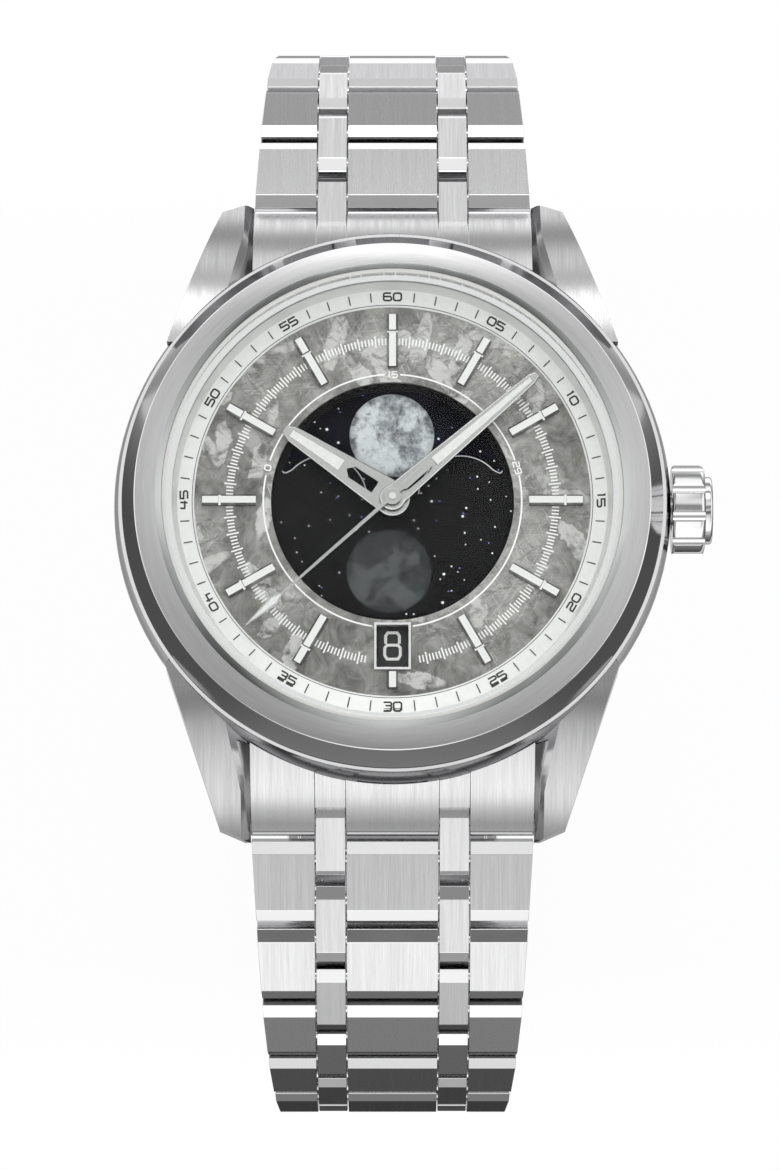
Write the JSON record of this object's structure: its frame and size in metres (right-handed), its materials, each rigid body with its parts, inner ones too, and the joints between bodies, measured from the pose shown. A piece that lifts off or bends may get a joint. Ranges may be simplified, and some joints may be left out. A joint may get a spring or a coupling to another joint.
{
  "type": "moon phase watch",
  "caption": "Steel wristwatch with a moon display, date window, working hands and train, pull-out crown, jointed bracelet and folding clasp.",
  "frame": {"origin": "centre of the caseback's outer face, which rests on the wrist", "axes": "+X towards the crown at 3 o'clock, +Y towards 12 o'clock, +Z out of the dial towards the viewer"},
  "size_m": [0.0466, 0.0888, 0.0556],
  "materials": {
    "steel_brushed": "satin brushed, with polished edges",
    "steel_polished": "mirror polished",
    "crystal_glass": "clear, coated against reflections",
    "seal_nylon": "moulded, pale",
    "holder_plastic": "moulded",
    "dial_grey": "grey with a crossed meteorite-like pattern",
    "chapter_silver": "pale silver with black print",
    "moon_smoke": "smoked and half transparent",
    "moon_night": "dark with pale moons and dots",
    "date_black": "matt black with pale figures",
    "hand_white": "white luminous fill",
    "wheel_brass": "turned",
    "plate_nickel": "nickel plated",
    "pinion_steel": "turned",
    "coil_copper": "wound wire",
    "cell_steel": "pressed"
  },
  "bodies": {
    "head": {"mid_case": "steel_brushed", "bezel": "steel_brushed", "crystal": "crystal_glass", "seal_rings": "seal_nylon", "caseback": "steel_polished", "movement_holder": "holder_plastic", "crown_tube": "steel_polished", "chapter_ring": "chapter_silver", "dial": "dial_grey", "hour_indices": "steel_polished", "date_frame": "steel_polished", "moon_plate": "moon_smoke", "main_plate": "plate_nickel", "train_bridge": "plate_nickel", "power_cell": "cell_steel", "motor_coil": "coil_copper", "upper_end_link": "steel_brushed", "lower_end_link": "steel_brushed", "spring_bars": "pinion_steel"},
    "setting_lever": {"setting_lever": "pinion_steel"},
    "crown": {"crown": "steel_polished", "crown_stem": "pinion_steel"},
    "moon_disc": {"moon_disc": "moon_night"},
    "date_ring": {"date_ring": "date_black"},
    "hour_hand": {"hour_hand": "steel_polished", "hour_hand_inlay": "hand_white", "hour_wheel": "wheel_brass"},
    "minute_hand": {"minute_hand": "steel_polished", "minute_hand_inlay": "hand_white", "centre_wheel": "wheel_brass"},
    "second_hand": {"second_hand": "steel_polished", "second_hand_inlay": "hand_white", "second_wheel": "wheel_brass"},
    "third_wheel": {"third_wheel": "wheel_brass"},
    "fifth_wheel": {"fifth_wheel": "wheel_brass"},
    "rotor": {"rotor": "pinion_steel"},
    "minute_wheel": {"minute_wheel": "wheel_brass"},
    "upper_row_1": {"upper_row_1": "steel_brushed"},
    "upper_row_2": {"upper_row_2": "steel_brushed"},
    "upper_row_3": {"upper_row_3": "steel_brushed"},
    "upper_row_4": {"upper_row_4": "steel_brushed"},
    "upper_row_5": {"upper_row_5": "steel_brushed"},
    "upper_row_6": {"upper_row_6": "steel_brushed"},
    "upper_row_7": {"upper_row_7": "steel_brushed"},
    "upper_row_8": {"upper_row_8": "steel_brushed"},
    "upper_row_9": {"upper_row_9": "steel_brushed"},
    "lower_row_1": {"lower_row_1": "steel_brushed"},
    "lower_row_2": {"lower_row_2": "steel_brushed"},
    "lower_row_3": {"lower_row_3": "steel_brushed"},
    "lower_row_4": {"lower_row_4": "steel_brushed"},
    "lower_row_5": {"lower_row_5": "steel_brushed"},
    "lower_row_6": {"lower_row_6": "steel_brushed"},
    "lower_row_7": {"lower_row_7": "steel_brushed"},
    "lower_row_8": {"lower_row_8": "steel_brushed"},
    "lower_row_9": {"lower_row_9": "steel_brushed"},
    "clasp_short_blade": {"clasp_short_blade": "steel_polished"},
    "clasp_long_blade": {"clasp_long_blade": "steel_polished"},
    "clasp_cover": {"clasp_cover": "steel_brushed", "cover_ears": "steel_brushed"},
    "left_button": {"left_button": "steel_polished"},
    "right_button": {"right_button": "steel_polished"}
  },
  "joints": [
    {"name": "crown_pull", "type": "slide", "parent": "head", "child": "setting_lever", "axis": [1, 0, 0], "range_m": [0, 0.001]},
    {"name": "crown_turn", "type": "hinge", "parent": "setting_lever", "child": "crown", "pos_m": [0.0218, 0, 0.004], "axis": [1, 0, 0], "continuous": true},
    {"name": "second_turn", "type": "hinge", "parent": "head", "child": "second_hand", "pos_m": [0, 0, 0.0095], "axis": [0, 0, -1], "continuous": true},
    {"name": "minute_turn", "type": "hinge", "parent": "head", "child": "minute_hand", "pos_m": [0, 0, 0.009], "axis": [0, 0, -1], "continuous": true},
    {"name": "hour_turn", "type": "hinge", "parent": "head", "child": "hour_hand", "pos_m": [0, 0, 0.0085], "axis": [0, 0, -1], "continuous": true},
    {"name": "third_wheel_turn", "type": "hinge", "parent": "head", "child": "third_wheel", "pos_m": [-0.00419, 0.00074, 0.00355], "axis": [0, 0, -1], "continuous": true},
    {"name": "fifth_wheel_turn", "type": "hinge", "parent": "head", "child": "fifth_wheel", "pos_m": [0.0021, 0.00364, 0.00265], "axis": [0, 0, -1], "continuous": true},
    {"name": "rotor_turn", "type": "hinge", "parent": "head", "child": "rotor", "pos_m": [0.0039, 0.00675, 0.003], "axis": [0, 0, -1], "continuous": true},
    {"name": "minute_wheel_turn", "type": "hinge", "parent": "head", "child": "minute_wheel", "pos_m": [0.0012, -0.00208, 0.0059], "axis": [0, 0, -1], "continuous": true},
    {"name": "moon_disc_turn", "type": "hinge", "parent": "head", "child": "moon_disc", "pos_m": [0, 0, 0.00665], "axis": [0, 0, -1], "continuous": true},
    {"name": "date_ring_turn", "type": "hinge", "parent": "head", "child": "date_ring", "pos_m": [0, 0, 0.00695], "axis": [0, 0, -1], "continuous": true},
    {"name": "upper_row_1_hinge", "type": "hinge", "parent": "head", "child": "upper_row_1", "pos_m": [0, 0.0266, -0.00134], "axis": [1, 0, 0], "range_deg": [0, 20]},
    {"name": "upper_row_2_hinge", "type": "hinge", "parent": "upper_row_1", "child": "upper_row_2", "pos_m": [0, 0.03268, -0.00411], "axis": [1, 0, 0], "range_deg": [0, 20]},
    {"name": "upper_row_3_hinge", "type": "hinge", "parent": "upper_row_2", "child": "upper_row_3", "pos_m": [0, 0.03756, -0.00866], "axis": [1, 0, 0], "range_deg": [0, 22]},
    {"name": "upper_row_4_hinge", "type": "hinge", "parent": "upper_row_3", "child": "upper_row_4", "pos_m": [0, 0.04078, -0.01452], "axis": [1, 0, 0], "range_deg": [0, 15]},
    {"name": "upper_row_5_hinge", "type": "hinge", "parent": "upper_row_4", "child": "upper_row_5", "pos_m": [0, 0.04259, -0.02096], "axis": [1, 0, 0], "range_deg": [0, 15]},
    {"name": "upper_row_6_hinge", "type": "hinge", "parent": "upper_row_5", "child": "upper_row_6", "pos_m": [0, 0.04259, -0.02763], "axis": [1, 0, 0], "range_deg": [0, 26]},
    {"name": "upper_row_7_hinge", "type": "hinge", "parent": "upper_row_6", "child": "upper_row_7", "pos_m": [0, 0.03986, -0.0337], "axis": [1, 0, 0], "range_deg": [0, 27]},
    {"name": "upper_row_8_hinge", "type": "hinge", "parent": "upper_row_7", "child": "upper_row_8", "pos_m": [0, 0.0349, -0.03816], "axis": [1, 0, 0], "range_deg": [0, 22]},
    {"name": "upper_row_9_hinge", "type": "hinge", "parent": "upper_row_8", "child": "upper_row_9", "pos_m": [0, 0.02875, -0.0408], "axis": [1, 0, 0], "range_deg": [0, 17]},
    {"name": "lower_row_1_hinge", "type": "hinge", "parent": "head", "child": "lower_row_1", "pos_m": [0, -0.0266, -0.00134], "axis": [-1, 0, 0], "range_deg": [0, 20]},
    {"name": "lower_row_2_hinge", "type": "hinge", "parent": "lower_row_1", "child": "lower_row_2", "pos_m": [0, -0.03268, -0.00411], "axis": [-1, 0, 0], "range_deg": [0, 20]},
    {"name": "lower_row_3_hinge", "type": "hinge", "parent": "lower_row_2", "child": "lower_row_3", "pos_m": [0, -0.03756, -0.00866], "axis": [-1, 0, 0], "range_deg": [0, 22]},
    {"name": "lower_row_4_hinge", "type": "hinge", "parent": "lower_row_3", "child": "lower_row_4", "pos_m": [0, -0.04078, -0.01452], "axis": [-1, 0, 0], "range_deg": [0, 15]},
    {"name": "lower_row_5_hinge", "type": "hinge", "parent": "lower_row_4", "child": "lower_row_5", "pos_m": [0, -0.04259, -0.02096], "axis": [-1, 0, 0], "range_deg": [0, 15]},
    {"name": "lower_row_6_hinge", "type": "hinge", "parent": "lower_row_5", "child": "lower_row_6", "pos_m": [0, -0.04259, -0.02763], "axis": [-1, 0, 0], "range_deg": [0, 26]},
    {"name": "lower_row_7_hinge", "type": "hinge", "parent": "lower_row_6", "child": "lower_row_7", "pos_m": [0, -0.03986, -0.0337], "axis": [-1, 0, 0], "range_deg": [0, 27]},
    {"name": "lower_row_8_hinge", "type": "hinge", "parent": "lower_row_7", "child": "lower_row_8", "pos_m": [0, -0.0349, -0.03816], "axis": [-1, 0, 0], "range_deg": [0, 22]},
    {"name": "lower_row_9_hinge", "type": "hinge", "parent": "lower_row_8", "child": "lower_row_9", "pos_m": [0, -0.02875, -0.0408], "axis": [-1, 0, 0], "range_deg": [0, 17]},
    {"name": "clasp_end_hinge", "type": "hinge", "parent": "upper_row_9", "child": "clasp_short_blade", "pos_m": [0, 0.02215, -0.04185], "axis": [1, 0, 0], "range_deg": [0, 14]},
    {"name": "clasp_blade_fold", "type": "hinge", "parent": "clasp_short_blade", "child": "clasp_long_blade", "pos_m": [0, -0.015, -0.0417], "axis": [-1, 0, 0], "range_deg": [0, 150]},
    {"name": "clasp_cover_fold", "type": "hinge", "parent": "clasp_long_blade", "child": "clasp_cover", "pos_m": [0, 0.014, -0.04235], "axis": [1, 0, 0], "range_deg": [0, 150]},
    {"name": "left_button_press", "type": "slide", "parent": "clasp_cover", "child": "left_button", "axis": [1, 0, 0], "range_m": [0, 0.0005], "stiffness_N_per_m": 400},
    {"name": "right_button_press", "type": "slide", "parent": "clasp_cover", "child": "right_button", "axis": [-1, 0, 0], "range_m": [0, 0.0005], "stiffness_N_per_m": 400}
  ],
  "couplings": [
    {"joint": "minute_turn", "follows": "second_turn", "ratio": 0.016667},
    {"joint": "hour_turn", "follows": "second_turn", "ratio": 0.0013889},
    {"joint": "third_wheel_turn", "follows": "second_turn", "ratio": -0.13333},
    {"joint": "fifth_wheel_turn", "follows": "second_turn", "ratio": -6},
    {"joint": "rotor_turn", "follows": "second_turn", "ratio": 30},
    {"joint": "minute_wheel_turn", "follows": "second_turn", "ratio": -0.0055556},
    {"joint": "clasp_blade_fold", "follows": "clasp_cover_fold", "ratio": 1}
  ]
}
